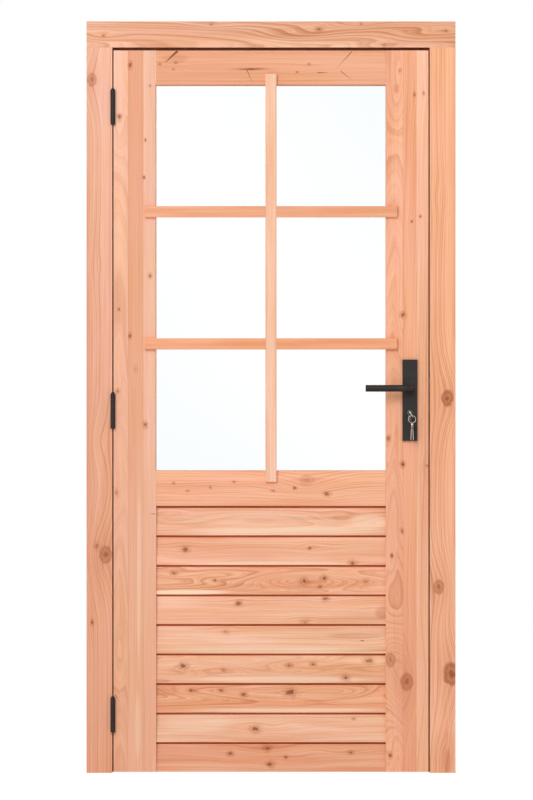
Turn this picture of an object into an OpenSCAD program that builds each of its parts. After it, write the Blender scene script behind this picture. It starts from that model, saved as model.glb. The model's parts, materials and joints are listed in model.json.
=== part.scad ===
// Glazed timber door hung in its three-sided frame.
// Millimetres, Z up, the outside of the door faces -Y. The origin is on the floor,
// midway between the posts and midway through the thickness of the leaf.

/* [Leaf] */
// Width of the leaf
leaf_w = 930; // [880:1:1030]
// Height of the leaf
leaf_h = 2131; // [2050:1:2300]
// Thickness of the leaf
leaf_t = 54; // [52:1:60]
// Face width of each stile
stile_w = 126; // [118:1:150]
// Face height of the top rail
top_rail_h = 103; // [95:1:150]
// Face height of the middle rail
mid_rail_h = 105; // [95:1:150]
// Height of the bottom rail behind the boards
bottom_rail_h = 95; // [80:1:140]
// Thickness of the rail tenons
tenon_t = 16; // [12:1:20]
// Length of the rail tenons
tenon_len = 50; // [30:1:60]

/* [Frame] */
// Face width of the posts
post_face = 76; // [70:1:110]
// Face height of the head
head_face = 77; // [70:1:110]
// Depth of the frame from front to back
frame_depth = 90; // [88:1:130]
// Gap between leaf and post on either side
side_gap = 4; // [3.5:0.5:6]
// Gap between leaf and head
head_gap = 9; // [5:0.5:12]
// Gap between leaf and floor
floor_gap = 3; // [2:0.5:12]
// How far the stop laps behind the edge of the leaf
stop_lap = 11; // [9:0.5:14]
// Gap between leaf and stop that the seal fills
seal_gap = 3; // [2.5:0.5:5]
// Diameter of the wall fixing holes
fixing_d = 10; // [8:0.5:12]
// Height of the lower wall fixing
fixing_low = 300; // [250:10:500]
// Distance of the upper wall fixing from the top of the leaf
fixing_inset = 234; // [200:1:500]

/* [Boards] */
// Distance from board to board
board_pitch = 87.3; // [84:0.1:92]
// Thickness of the boards
board_t = 20; // [18:0.5:22]
// How far the boards lie behind the front of the stiles
board_set = 6; // [5:0.5:8]
// How far the board face slopes back towards its top
board_slope = 6.5; // [4:0.5:7]
// Height of the shadow groove between boards
board_groove = 6; // [4:0.5:8]
// How far each board laps the tongue of the board below
board_lap = 12; // [8:0.5:16]

/* [Glazing] */
// Thickness of the pane
glass_t = 6; // [4:0.5:8]
// Thickness of the timber lip in front of the pane
glass_lip = 20; // [16:0.5:22]
// Depth of the glazing rebate
glass_rebate = 14; // [12:0.5:18]
// Thickness of the gasket on each side of the pane
gasket_t = 3; // [2:0.5:4]
// Face width of the planted bars
bar_w = 33; // [26:0.5:40]
// Thickness of the planted bars
bar_t = 12; // [8:0.5:14]
// Width of the broken edge round the pane, on the outside
light_arris = 3; // [1:0.5:5]
// How far the bar ends lap the stiles and rails
bar_lap = 34; // [20:1:45]

/* [Hinges] */
// Height of the hinge barrel
hinge_h = 102; // [90:1:120]
// Diameter of the hinge barrel
barrel_d = 14; // [13:0.5:16]
// Diameter of the hinge pin
pin_d = 8; // [6:0.5:9]
// Thickness of the hinge leaves
flap_t = 3; // [2.5:0.25:3.5]
// Depth that the hinge leaves run into the joint
flap_w = 32; // [30:1:38]
// Distance of the outer hinges from the ends of the leaf
hinge_inset = 168; // [150:1:200]

/* [Lock] */
// Height of the lever above the floor
lever_z = 1136; // [1100:1:1170]
// Distance of the lever from the edge of the leaf
backset = 55; // [52:1:60]
// Distance from lever down to cylinder
cyl_drop = 72; // [70:0.5:74]
// Length of the plates
plate_h = 240; // [236:1:270]
// Width of the plates
plate_w = 44; // [40:1:50]
// Thickness of the plates
plate_t = 9; // [7:0.5:11]
// Diameter of the lever bar
lever_d = 20; // [19:0.5:22]
// Reach of the lever from its axis to its tip
lever_reach = 129; // [115:1:145]
// Distance of the lever bar from the face of the leaf
lever_out = 52; // [50:1:60]
// How far the latch stands out of the forend
latch_out = 12; // [10:0.5:12]
// Travel of the dead bolt
bolt_throw = 20; // [16:0.5:22]

/* [Hidden] */
$fn = 48;
eps = 1;

// Timber fits
board_count = 9;
joint_fit = 0.2;
end_fit = 1;
groove_d = 12;
tongue_fit = 0.6;
tenon_inset = 24;
bottom_tenon_t = 12;
bottom_tenon_len = 35;
bottom_tenon_inset = 15;
pane_fit = 3;
gasket_set = 1.5;

// Main planes of the leaf and the frame
y_front = -leaf_t / 2;
y_back = leaf_t / 2;
leaf_x = leaf_w / 2;
leaf_z0 = floor_gap;
leaf_z1 = floor_gap + leaf_h;
post_x = leaf_x + side_gap;
outer_x = post_x + post_face;
head_z0 = leaf_z1 + head_gap;
head_z1 = head_z0 + head_face;
stop_x = leaf_x - stop_lap;
stop_z = leaf_z1 - stop_lap;
stop_y = y_back + seal_gap;
frame_y1 = y_front + frame_depth;
fixing_y = (stop_y + frame_y1) / 2;
fixing_z = [fixing_low, leaf_z1 - fixing_inset];

// Frame seal
seal_w = 5;
seal_clear = 0.4;
tail_w = 2;
tail_d = 5;
kerf_fit = 0.1;
seal_x = leaf_x - stop_lap / 2;
seal_z = leaf_z1 - stop_lap / 2;

// Openings in the leaf
stile_x = leaf_x - stile_w;
panel_z1 = leaf_z0 + board_count * board_pitch;
open_z0 = panel_z1 + mid_rail_h;
open_z1 = leaf_z1 - top_rail_h;
pane_x = stile_x + glass_rebate - pane_fit;
pane_z0 = open_z0 - glass_rebate + pane_fit;
pane_z1 = open_z1 + glass_rebate - pane_fit;
rebate_y = y_front + glass_lip;
pane_y = rebate_y + gasket_t;
bead_y = pane_y + glass_t + gasket_t;
light_h = (open_z1 - open_z0 - 2 * bar_w) / 3;
bar_z = [for (i = [1:2]) open_z0 + i * light_h + (i - 0.5) * bar_w];

// Boards
board_y0 = y_front + board_set;
board_y1 = board_y0 + board_t;
lip_t = 0.62 * board_t;
tongue_y = board_y0 + lip_t + tongue_fit;
shoulder_fall = 1.5;

// Screws: head diameter, shank diameter, length
hinge_screw = [8, 4.4, 34];
forend_screw = [7, 4, 30];
strike_screw = [7, 4, 32];
corner_screw = [14, 8, 160];
plate_screw = [8, 5, plate_t + leaf_t + plate_t - 3];
screw_fit = 0.05;
slot_w = 0.9;
slot_d = 1;
corner_inset = 24;

// Hinges
barrel_clear = 0.5;
pin_fit = 0.02;
run_fit = 0.05;
knuckle_gap = 0.4;
end_knuckle = 18;
mid_knuckle = (hinge_h - 2 * end_knuckle) / 3;
tip_d = 11;
tip_point = 4;
tip_rim = 2;
tip_h = 6;
hinge_x = -leaf_x - side_gap / 2;
hinge_y = y_front - barrel_d / 2 - barrel_clear;
hinge_low = leaf_z0 + hinge_inset;
hinge_high = leaf_z1 - hinge_inset;
hinge_mid = (hinge_low + hinge_high) / 2;
flap_screws = [[10, 36], [23, 15], [23, -15], [10, -36]];

// Lock
spindle_x = leaf_x - backset;
cyl_z = lever_z - cyl_drop;
forend_t = 3;
forend_w = 24;
forend_h = 235;
forend_z = lever_z - 36;
case_d = 88;
case_t = 16;
case_h = 170;
case_wall = 2;
case_fit = 0.3;
case_x = leaf_x - forend_t - case_d;
case_z = forend_z - case_h / 2;
bolt_fit = 0.3;
latch_t = 11;
latch_h = 18;
latch_z = lever_z + 24;
latch_back = 30;
latch_nose = 2;
tail_t = 5;
tail_z = lever_z + 12;
tail_h = 14;
arm_w = 6;
arm_t = 4.4;
arm_r = 19;
arm_slack = 0.9;
arm_room = 6;
tail_left = arm_w / 2 + arm_slack + 8;
bolt_t = 11;
bolt_h = 30;
bolt_z = cyl_z + 33;
bolt_back = 34.5;
bolt_flush = 0.5;
bolt_tail_h = 14;
hub_d = 22;
hub_fit = 0.1;
spindle_s = 8;
spindle_half = leaf_t / 2 + plate_t + 22;
socket_fit = 0.05;
spindle_bore = 26;

// Strike
strike_t = 3;
strike_w = 24;
strike_h = 176;
strike_z = (latch_z + bolt_z) / 2;
strike_room = 1.5;
strike_depth = 3;

// Plates and levers
plate_z = lever_z - cyl_drop / 2 + 1;
plate_screw_gap = plate_h - 31;
plate_fit = 0.3;
journal_d = lever_d - 2;
journal_fit = 0.1;
shoulder_gap = 0.3;
bend_r = 16;
lever_y = y_front - lever_out;
neck_y = y_front - plate_t - shoulder_gap;
lever_edge = 1;

// Cylinder and keys
cyl_r = 8.5;
cyl_web = 10;
cyl_drop_h = 33;
cyl_out = 3;
cyl_half = leaf_t / 2 + plate_t + cyl_out;
cyl_hole_fit = 0.5;
plug_d = 13;
plug_proud = 0.4;
cam_w = 10;
cam_gap = 0.3;
cam_r = 15.5;
cam_tooth = 8;
bridge_top = 16.5;
bridge_z = cyl_z + cyl_r - cyl_drop_h + 4;
cyl_screw = [8, 5, backset + 4];
key_turned = -35;
key_t = 2.4;
blade_w = 8;
blade_in = 29;
keyway_in = 30;
keyway_back = 6;
key_fit = 0.05;
key_neck = 6.5;
bow_l = 26;
bow_w = 25;
bow_r = 9;
bow_shift = 4.5;
bow_hole = 2.6;
bow_hole_u = 10.5;
key_face_y = -cyl_half - plug_proud;
ring_y = key_face_y - key_neck - bow_l / 2 - 1.5;
ring_r = 10.7;
wire_r = 1;
ring_x = spindle_x - bow_hole_u * sin(key_turned);
ring_z = cyl_z - bow_hole_u * cos(key_turned) - ring_r;
hang_gap = 0.4;
spare_t = 2.2;
spare_gap = 0.6;
spare_splay = 2.5;
spare_bow = 23;
spare_rim = 3;
spare_len = 55;
spare_cuts = [6, 11, 16, 21];
cut_depth = 2;

// Colours
timber = [0.93, 0.70, 0.55];
pale_timber = [0.96, 0.78, 0.64];
black = [0.16, 0.16, 0.16];
steel = [0.70, 0.70, 0.70];
nickel = [0.78, 0.73, 0.67];

// Box between two opposite corners
module block(a, b) {
    translate(a)
        cube(b - a);
}

// Countersunk screw with its head flush at the origin, pointing down
module screw(s, grow = 0) {
    sink = (s[0] - s[1]) / 2;
    translate([0, 0, -sink])
        cylinder(d1 = s[1] + 2 * grow, d2 = s[0] + 2 * grow, h = sink);
    translate([0, 0, -s[2] - grow])
        cylinder(d = s[1] + 2 * grow, h = s[2] + grow);
}

// The same screw with a cross cut in its head
module cross_screw(s) {
    reach = s[0] * 0.6;
    difference() {
        screw(s);
        for (a = [0, 90])
            rotate([0, 0, a])
                translate([-reach / 2, -slot_w / 2, -slot_d])
                    cube([reach, slot_w, slot_d + eps]);
    }
}

// Rectangle with round corners, centred
module round_rect(w, h, r) {
    square([w, h - 2 * r], center = true);
    square([w - 2 * r, h], center = true);
    for (x = [-1, 1], y = [-1, 1])
        translate([x * (w / 2 - r), y * (h / 2 - r)])
            circle(r = r);
}

// Outline extruded along X from a drawing in Y and Z
module along_x(x0, x1) {
    translate([x0, 0, 0])
        rotate([90, 0, 90])
            linear_extrude(x1 - x0)
                children();
}

// Outline extruded along Y from a drawing in X and Z
module along_y(y0, y1) {
    translate([0, y1, 0])
        rotate([90, 0, 0])
            linear_extrude(y1 - y0)
                children();
}

// Strip that follows the three sides of the frame stop
module seal_strip(w, y0, y1) {
    for (s = [-1, 1])
        block([s * seal_x - w / 2, y0, leaf_z0], [s * seal_x + w / 2, y1, seal_z + w / 2]);
    block([-seal_x - w / 2, y0, seal_z - w / 2], [seal_x + w / 2, y1, seal_z + w / 2]);
}

module seal_kerf() {
    w = tail_w + 2 * kerf_fit;
    seal_strip(w, stop_y - eps, stop_y + tail_d + kerf_fit);
}

// Children placed at the four screws that hold the head on the posts
module at_corners() {
    for (s = [-1, 1], y = [y_front + corner_inset, frame_y1 - corner_inset])
        translate([s * (post_x + post_face / 2), y, head_z1])
            children();
}

// Post on the hinge side before its hinges are let in
module post_blank() {
    difference() {
        union() {
            block([-outer_x, y_front, 0], [-post_x, frame_y1, head_z0]);
            block([-post_x - eps, stop_y, 0], [-stop_x, frame_y1, head_z0]);
        }
        seal_kerf();
        at_corners()
            screw(corner_screw, screw_fit);
        for (z = fixing_z)
            translate([-outer_x - eps, fixing_y, z])
                rotate([0, 90, 0])
                    cylinder(d = fixing_d, h = outer_x - stop_x + 2 * eps);
    }
}

// Children placed at the three hinges
module at_hinges() {
    for (z = [hinge_low, hinge_mid, hinge_high])
        translate([0, 0, z])
            children();
}

// Children placed at the screws of one hinge leaf, heads towards the gap
module at_flap_screws(on_frame) {
    x = on_frame ? -post_x : -leaf_x;
    turn = on_frame ? 90 : -90;
    for (p = flap_screws)
        translate([x, y_front + p[0], p[1]])
            rotate([0, turn, 0])
                children();
}

// Space that one hinge leaf and its screws take out of the timber
module flap_seat(on_frame) {
    x = on_frame ? -post_x - flap_t : -leaf_x - eps;
    block([x, y_front - eps, -hinge_h / 2], [x + flap_t + eps, y_front + flap_w, hinge_h / 2]);
    at_flap_screws(on_frame)
        screw(hinge_screw, screw_fit);
}

module hinge_post() {
    color(timber)
        difference() {
            post_blank();
            at_hinges()
                flap_seat(true);
        }
}

// Space around one bolt in the strike, seen from the leaf
module bolt_window(z, h, t, x1) {
    block([post_x - eps, -t / 2 - strike_room, z - h / 2 - strike_room],
          [x1, t / 2 + strike_room, z + h / 2 + strike_room]);
}

module bolt_windows() {
    bolt_window(latch_z, latch_h, latch_t, leaf_x + latch_out + strike_depth);
    bolt_window(bolt_z, bolt_h, bolt_t, leaf_x + bolt_throw + strike_depth);
}

module at_strike_screws() {
    for (s = [-1, 1])
        translate([post_x, 0, strike_z + s * (strike_h / 2 - 10)])
            rotate([0, -90, 0])
                children();
}

module strike_body(grow) {
    block([post_x - grow, -strike_w / 2, strike_z - strike_h / 2],
          [post_x + strike_t, strike_w / 2, strike_z + strike_h / 2]);
}

module lock_post() {
    color(timber)
        difference() {
            mirror([1, 0, 0])
                post_blank();
            strike_body(eps);
            bolt_windows();
            at_strike_screws()
                screw(strike_screw, screw_fit);
        }
}

module head() {
    color(timber)
        difference() {
            union() {
                block([-outer_x, y_front, head_z0], [outer_x, frame_y1, head_z1]);
                block([-stop_x, stop_y, stop_z], [stop_x, frame_y1, head_z0 + eps]);
            }
            seal_kerf();
            at_corners()
                screw(corner_screw, screw_fit);
        }
}

module frame_seal() {
    color(black) {
        seal_strip(seal_w, y_back + seal_clear, stop_y);
        seal_strip(tail_w, stop_y - seal_gap / 2, stop_y + tail_d);
    }
}

module frame_corner_screws() {
    color(steel)
        at_corners()
            cross_screw(corner_screw);
}

module strike_plate() {
    color(steel)
        difference() {
            strike_body(0);
            bolt_windows();
            at_strike_screws()
                screw(strike_screw, screw_fit);
        }
}

module strike_screws() {
    color(steel)
        at_strike_screws()
            cross_screw(strike_screw);
}

// Foot and height of hinge knuckle i, counted from the bottom
function knuckle_z(i) = i == 0 ? -hinge_h / 2 : -hinge_h / 2 + end_knuckle + (i - 1) * mid_knuckle;
function knuckle_h(i) = i == 0 || i == 4 ? end_knuckle : mid_knuckle;

// One hinge leaf with its knuckles
module flap(on_frame) {
    x = on_frame ? -post_x - flap_t : -leaf_x;
    own = on_frame ? [0, 2, 4] : [1, 3];
    gap = on_frame ? 0 : knuckle_gap;
    bore = pin_d + 2 * (on_frame ? pin_fit : run_fit);
    difference() {
        union() {
            block([x, y_front, -hinge_h / 2], [x + flap_t, y_front + flap_w, hinge_h / 2]);
            for (i = own) {
                z0 = knuckle_z(i) + gap;
                z1 = knuckle_z(i) + knuckle_h(i) - gap;
                translate([hinge_x, hinge_y, z0])
                    cylinder(d = barrel_d, h = z1 - z0);
                block([x, hinge_y, z0], [x + flap_t, y_front + eps, z1]);
            }
        }
        translate([hinge_x, hinge_y, -hinge_h / 2 - eps])
            cylinder(d = bore, h = hinge_h + 2 * eps);
        at_flap_screws(on_frame)
            screw(hinge_screw, screw_fit);
    }
}

module hinge_top_frame_leaf() {
    color(black)
        translate([0, 0, hinge_high])
            flap(true);
}

module hinge_middle_frame_leaf() {
    color(black)
        translate([0, 0, hinge_mid])
            flap(true);
}

module hinge_bottom_frame_leaf() {
    color(black)
        translate([0, 0, hinge_low])
            flap(true);
}

module hinge_top_door_leaf() {
    color(black)
        translate([0, 0, hinge_high])
            flap(false);
}

module hinge_middle_door_leaf() {
    color(black)
        translate([0, 0, hinge_mid])
            flap(false);
}

module hinge_bottom_door_leaf() {
    color(black)
        translate([0, 0, hinge_low])
            flap(false);
}

module hinge_pins() {
    top = hinge_h / 2;
    outline = [
        [0, -top], [pin_d / 2, -top], [pin_d / 2, top], [tip_d / 2, top],
        [tip_d / 2, top + tip_rim], [tip_point / 2, top + tip_h], [0, top + tip_h]
    ];
    color(black)
        at_hinges()
            translate([hinge_x, hinge_y, 0])
                rotate_extrude()
                    polygon(outline);
}

module frame_hinge_screws() {
    color(black)
        at_hinges()
            at_flap_screws(true)
                cross_screw(hinge_screw);
}

module door_hinge_screws() {
    color(black)
        at_hinges()
            at_flap_screws(false)
                cross_screw(hinge_screw);
}

// Tenon on the hinge side between two heights, centred on y
module tenon(y, t, len, z0, z1, grow = 0) {
    block([-stile_x - len - grow, y - t / 2 - grow, z0 - grow],
          [-stile_x + eps, y + t / 2 + grow, z1 + grow]);
}

module rail_tenons(grow = 0) {
    tenon(0, tenon_t, tenon_len, open_z1 + tenon_inset, leaf_z1 - tenon_inset, grow);
    tenon(0, tenon_t, tenon_len, panel_z1 + tenon_inset, open_z0 - tenon_inset, grow);
    tenon((board_y1 + y_back) / 2, bottom_tenon_t, bottom_tenon_len,
          leaf_z0 + bottom_tenon_inset, leaf_z0 + bottom_rail_h - bottom_tenon_inset, grow);
}

// Stile on the hinge side before its hardware is let in
// Cutter for the broken edge round the pane
module light_edge() {
    wide = light_arris + eps;
    skin = 0.01;
    hull() {
        block([-stile_x - wide, y_front - eps, open_z0 - wide],
              [stile_x + wide, y_front - eps + skin, open_z1 + wide]);
        block([-stile_x, y_front + light_arris - skin, open_z0],
              [stile_x, y_front + light_arris, open_z1]);
    }
}

module stile_blank() {
    difference() {
        block([-leaf_x, y_front, leaf_z0], [-stile_x, y_back, leaf_z1]);
        block([-stile_x - glass_rebate, rebate_y, open_z0 - glass_rebate],
              [-stile_x + eps, y_back + eps, open_z1 + glass_rebate]);
        block([-stile_x - groove_d, board_y0 - joint_fit, leaf_z0 - eps],
              [-stile_x + eps, board_y1 + joint_fit, panel_z1 + board_lap + end_fit]);
        light_edge();
        rail_tenons(joint_fit);
    }
}

module hinge_stile() {
    color(timber)
        difference() {
            stile_blank();
            at_hinges()
                flap_seat(false);
        }
}

// Section of the profile cylinder in X and Z
module cyl_outline(grow = 0) {
    foot = cyl_r - cyl_drop_h + cyl_web / 2;
    translate([spindle_x, cyl_z]) {
        circle(r = cyl_r + grow);
        translate([-cyl_web / 2 - grow, foot])
            square([cyl_web + 2 * grow, -foot]);
        translate([0, foot])
            circle(d = cyl_web + 2 * grow);
    }
}

// Children placed with their axis along Y at a height on the lock's centre line
module at_lock(y, z) {
    translate([spindle_x, y, z])
        rotate([-90, 0, 0])
            children();
}

module at_forend_screws() {
    for (s = [-1, 1])
        translate([leaf_x, 0, forend_z + s * (forend_h / 2 - 9)])
            rotate([0, 90, 0])
                children();
}

module at_plate_screws() {
    for (s = [-1, 1])
        translate([spindle_x, y_front - plate_t, plate_z + s * plate_screw_gap / 2])
            rotate([90, 0, 0])
                children();
}

module lock_stile() {
    color(timber)
        difference() {
            mirror([1, 0, 0])
                stile_blank();
            block([case_x - case_fit, -case_t / 2 - case_fit, case_z - case_fit],
                  [leaf_x + eps, case_t / 2 + case_fit, case_z + case_h + case_fit]);
            block([leaf_x - forend_t, -forend_w / 2, forend_z - forend_h / 2],
                  [leaf_x + eps, forend_w / 2, forend_z + forend_h / 2]);
            at_forend_screws()
                screw(forend_screw, screw_fit);
            at_plate_screws()
                screw(plate_screw, screw_fit);
            at_lock(y_front - eps, lever_z)
                cylinder(d = spindle_bore, h = leaf_t + 2 * eps);
            along_y(y_front - eps, y_back + eps)
                cyl_outline(cyl_hole_fit);
        }
}

// Both ends of one rail's tenons
module both_sides() {
    children();
    mirror([1, 0, 0])
        children();
}

module top_rail() {
    color(timber) {
        difference() {
            block([-stile_x, y_front, open_z1], [stile_x, y_back, leaf_z1]);
            block([-stile_x - eps, rebate_y, open_z1 - eps],
                  [stile_x + eps, y_back + eps, open_z1 + glass_rebate]);
            light_edge();
        }
        both_sides()
            tenon(0, tenon_t, tenon_len, open_z1 + tenon_inset, leaf_z1 - tenon_inset);
    }
}

module mid_rail() {
    color(timber) {
        difference() {
            block([-stile_x, y_front, panel_z1], [stile_x, y_back, open_z0]);
            block([-stile_x - eps, rebate_y, open_z0 - glass_rebate],
                  [stile_x + eps, y_back + eps, open_z0 + eps]);
            light_edge();
            block([-stile_x - eps, tongue_y - joint_fit, panel_z1 - eps],
                  [stile_x + eps, board_y1 + joint_fit, panel_z1 + board_lap + end_fit]);
        }
        both_sides()
            tenon(0, tenon_t, tenon_len, panel_z1 + tenon_inset, open_z0 - tenon_inset);
    }
}

module bottom_rail() {
    color(timber) {
        block([-stile_x, board_y1, leaf_z0], [stile_x, y_back, leaf_z0 + bottom_rail_h]);
        both_sides()
            tenon((board_y1 + y_back) / 2, bottom_tenon_t, bottom_tenon_len,
                  leaf_z0 + bottom_tenon_inset, leaf_z0 + bottom_rail_h - bottom_tenon_inset);
    }
}

// Board i counted from the top: sloping face, tongue up, lip down
module board(i) {
    top = board_pitch - board_groove;
    foot = i == board_count ? [[board_y1, 0]] : [
        [board_y1, board_lap + end_fit],
        [board_y0 + lip_t, board_lap + end_fit],
        [board_y0 + lip_t, 0]
    ];
    head = [
        [board_y0, 0], [board_y0 + board_slope, top], [tongue_y, top + shoulder_fall],
        [tongue_y, board_pitch + board_lap], [board_y1, board_pitch + board_lap]
    ];
    end = stile_x + groove_d - end_fit;
    color(timber)
        translate([0, 0, panel_z1 - i * board_pitch])
            along_x(-end, end)
                polygon(concat(head, foot));
}

module glass_pane() {
    color([0.85, 0.93, 0.95, 0.35])
        block([-pane_x, pane_y, pane_z0], [pane_x, pane_y + glass_t, pane_z1]);
}

module glazing_gasket() {
    inner_x = stile_x + gasket_set;
    color([0.75, 0.75, 0.75])
        difference() {
            block([-stile_x - glass_rebate, rebate_y, open_z0 - glass_rebate],
                  [stile_x + glass_rebate, bead_y, open_z1 + glass_rebate]);
            block([-pane_x, pane_y, pane_z0], [pane_x, pane_y + glass_t, pane_z1]);
            block([-inner_x, rebate_y - eps, open_z0 - gasket_set],
                  [inner_x, bead_y + eps, open_z1 + gasket_set]);
        }
}

// Mitred bead from its two outer corners to its two inner corners
module bead(points) {
    color(timber)
        along_y(bead_y, y_back)
            polygon(points);
}

// Corners of the rebate and of the opening, clockwise from the lower left
bead_out = [
    [-stile_x - glass_rebate, open_z0 - glass_rebate], [-stile_x - glass_rebate, open_z1 + glass_rebate],
    [stile_x + glass_rebate, open_z1 + glass_rebate], [stile_x + glass_rebate, open_z0 - glass_rebate]
];
bead_in = [
    [-stile_x, open_z0], [-stile_x, open_z1], [stile_x, open_z1], [stile_x, open_z0]
];

module bead_left() {
    bead([bead_out[0], bead_out[1], bead_in[1], bead_in[0]]);
}

module bead_top() {
    bead([bead_out[1], bead_out[2], bead_in[2], bead_in[1]]);
}

module bead_right() {
    bead([bead_out[2], bead_out[3], bead_in[3], bead_in[2]]);
}

module bead_bottom() {
    bead([bead_out[3], bead_out[0], bead_in[0], bead_in[3]]);
}

module bar_upright() {
    color(pale_timber)
        difference() {
            block([-bar_w / 2, y_front - bar_t, open_z0 - bar_lap],
                  [bar_w / 2, y_front, open_z1 + bar_lap]);
            for (z = bar_z)
                block([-bar_w / 2 - eps, y_front - bar_t / 2, z - bar_w / 2],
                      [bar_w / 2 + eps, y_front + eps, z + bar_w / 2]);
        }
}

// Cross bar at height z, halved behind the upright
module cross_bar(z) {
    reach = stile_x + bar_lap;
    color(timber)
        difference() {
            block([-reach, y_front - bar_t, z - bar_w / 2], [reach, y_front, z + bar_w / 2]);
            block([-bar_w / 2, y_front - bar_t - eps, z - bar_w / 2 - eps],
                  [bar_w / 2, y_front - bar_t / 2, z + bar_w / 2 + eps]);
        }
}

module bar_upper() {
    cross_bar(bar_z[1]);
}

module bar_lower() {
    cross_bar(bar_z[0]);
}

// Plate on the outside, before its screw holes
module plate_blank() {
    difference() {
        translate([spindle_x, 0, plate_z])
            along_y(y_front - plate_t, y_front)
                square([plate_w, plate_h], center = true);
        at_lock(y_front - plate_t - eps, lever_z)
            cylinder(d = journal_d + 2 * journal_fit, h = plate_t + 2 * eps);
        along_y(y_front - plate_t - eps, y_front + eps)
            cyl_outline(plate_fit);
    }
}

module outside_plate() {
    color(black)
        difference() {
            plate_blank();
            at_plate_screws()
                screw(plate_screw, screw_fit);
        }
}

module inside_plate() {
    color(black)
        difference() {
            mirror([0, 1, 0])
                plate_blank();
            at_plate_screws()
                screw(plate_screw, screw_fit);
        }
}

module plate_screws() {
    color(black)
        at_plate_screws()
            cross_screw(plate_screw);
}

module lock_case() {
    color(steel)
        difference() {
            block([case_x, -case_t / 2, case_z], [leaf_x - forend_t, case_t / 2, case_z + case_h]);
            block([case_x + case_wall, -case_t / 2 + case_wall, case_z + case_wall],
                  [leaf_x, case_t / 2 - case_wall, case_z + case_h - case_wall]);
            at_lock(-case_t / 2 - eps, lever_z)
                cylinder(d = hub_d + 2 * hub_fit, h = case_t + 2 * eps);
            along_y(-case_t / 2 - eps, case_t / 2 + eps)
                cyl_outline(cyl_hole_fit);
        }
}

module cyl_screw_at() {
    translate([leaf_x, 0, bridge_z])
        rotate([0, 90, 0])
            children();
}

module lock_forend() {
    color(steel)
        difference() {
            block([leaf_x - forend_t, -forend_w / 2, forend_z - forend_h / 2],
                  [leaf_x, forend_w / 2, forend_z + forend_h / 2]);
            block([leaf_x - forend_t - eps, -latch_t / 2 - bolt_fit, latch_z - latch_h / 2 - bolt_fit],
                  [leaf_x + eps, latch_t / 2 + bolt_fit, latch_z + latch_h / 2 + bolt_fit]);
            block([leaf_x - forend_t - eps, -bolt_t / 2 - bolt_fit, bolt_z - bolt_h / 2 - bolt_fit],
                  [leaf_x + eps, bolt_t / 2 + bolt_fit, bolt_z + bolt_h / 2 + bolt_fit]);
            at_forend_screws()
                screw(forend_screw, screw_fit);
            cyl_screw_at()
                screw(cyl_screw, screw_fit);
        }
}

module forend_screws() {
    color(steel)
        at_forend_screws()
            cross_screw(forend_screw);
}

module cylinder_screw() {
    color(steel)
        cyl_screw_at()
            cross_screw(cyl_screw);
}

module cylinder_body() {
    color(nickel)
        difference() {
            along_y(-cyl_half, cyl_half)
                cyl_outline();
            at_lock(-cyl_half - eps, cyl_z)
                cylinder(d = plug_d, h = 2 * cyl_half + 2 * eps);
            block([spindle_x - cam_r, -cam_w / 2 - cam_gap, cyl_z - bridge_top],
                  [spindle_x + cam_r, cam_w / 2 + cam_gap, cyl_z + cam_r]);
            cyl_screw_at()
                screw(cyl_screw, screw_fit);
        }
}

// Lever on the outside, pointing away from the edge of the leaf
module outside_lever() {
    bend_y = lever_y + bend_r;
    color(black)
        difference() {
            union() {
                at_lock(bend_y, lever_z)
                    cylinder(d = lever_d, h = neck_y - bend_y);
                at_lock(neck_y - eps, lever_z)
                    cylinder(d = journal_d, h = y_front - shoulder_gap - neck_y + eps);
                translate([spindle_x - bend_r, bend_y, lever_z])
                    rotate([0, 0, -90])
                        rotate_extrude(angle = 90)
                            translate([bend_r, 0])
                                circle(d = lever_d);
                translate([spindle_x - bend_r, lever_y, lever_z])
                    rotate([0, -90, 0]) {
                        cylinder(d = lever_d, h = lever_reach - bend_r - lever_edge);
                        translate([0, 0, lever_reach - bend_r - lever_edge])
                            cylinder(d1 = lever_d, d2 = lever_d - 2 * lever_edge, h = lever_edge);
                    }
            }
            spindle_body(socket_fit);
        }
}

module inside_lever() {
    mirror([0, 1, 0])
        outside_lever();
}

module spindle_body(grow = 0) {
    s = spindle_s / 2 + grow;
    block([spindle_x - s, -spindle_half - grow, lever_z - s], [spindle_x + s, spindle_half + grow, lever_z + s]);
}

module spindle() {
    color(steel)
        spindle_body();
}

// Hub turned by the spindle, with the arm that draws the latch
module lock_follower() {
    color(steel)
        difference() {
            union() {
                at_lock(-case_t / 2, lever_z)
                    cylinder(d = hub_d - 2 * hub_fit, h = case_t);
                block([spindle_x - arm_w / 2, -arm_t / 2, lever_z],
                      [spindle_x + arm_w / 2, arm_t / 2, lever_z + arm_r]);
                at_lock(-arm_t / 2, lever_z + arm_r)
                    cylinder(d = arm_w, h = arm_t);
            }
            spindle_body(socket_fit);
        }
}

module latch_bolt() {
    x0 = leaf_x - latch_back;
    x1 = leaf_x + latch_out;
    outline = [
        [x0, -latch_t / 2], [x1, -latch_t / 2], [x1, -latch_t / 2 + latch_nose],
        [leaf_x + 1, latch_t / 2], [x0, latch_t / 2]
    ];
    color(steel)
        difference() {
            union() {
                translate([0, 0, latch_z - latch_h / 2])
                    linear_extrude(latch_h)
                        polygon(outline);
                block([spindle_x - tail_left, -tail_t / 2, tail_z], [x0 + eps, tail_t / 2, tail_z + tail_h]);
            }
            block([spindle_x - arm_w / 2 - arm_slack, -tail_t, tail_z - eps],
                  [spindle_x + arm_w / 2 + arm_room, tail_t, lever_z + arm_r + arm_w / 2 + eps]);
        }
}

module dead_bolt() {
    x0 = leaf_x - bolt_back;
    color(steel) {
        block([x0, -bolt_t / 2, bolt_z - bolt_h / 2], [leaf_x - bolt_flush, bolt_t / 2, bolt_z + bolt_h / 2]);
        block([spindle_x - 15, -tail_t / 2, bolt_z - bolt_tail_h / 2],
              [x0 + eps, tail_t / 2, bolt_z + bolt_tail_h / 2]);
    }
}

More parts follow.
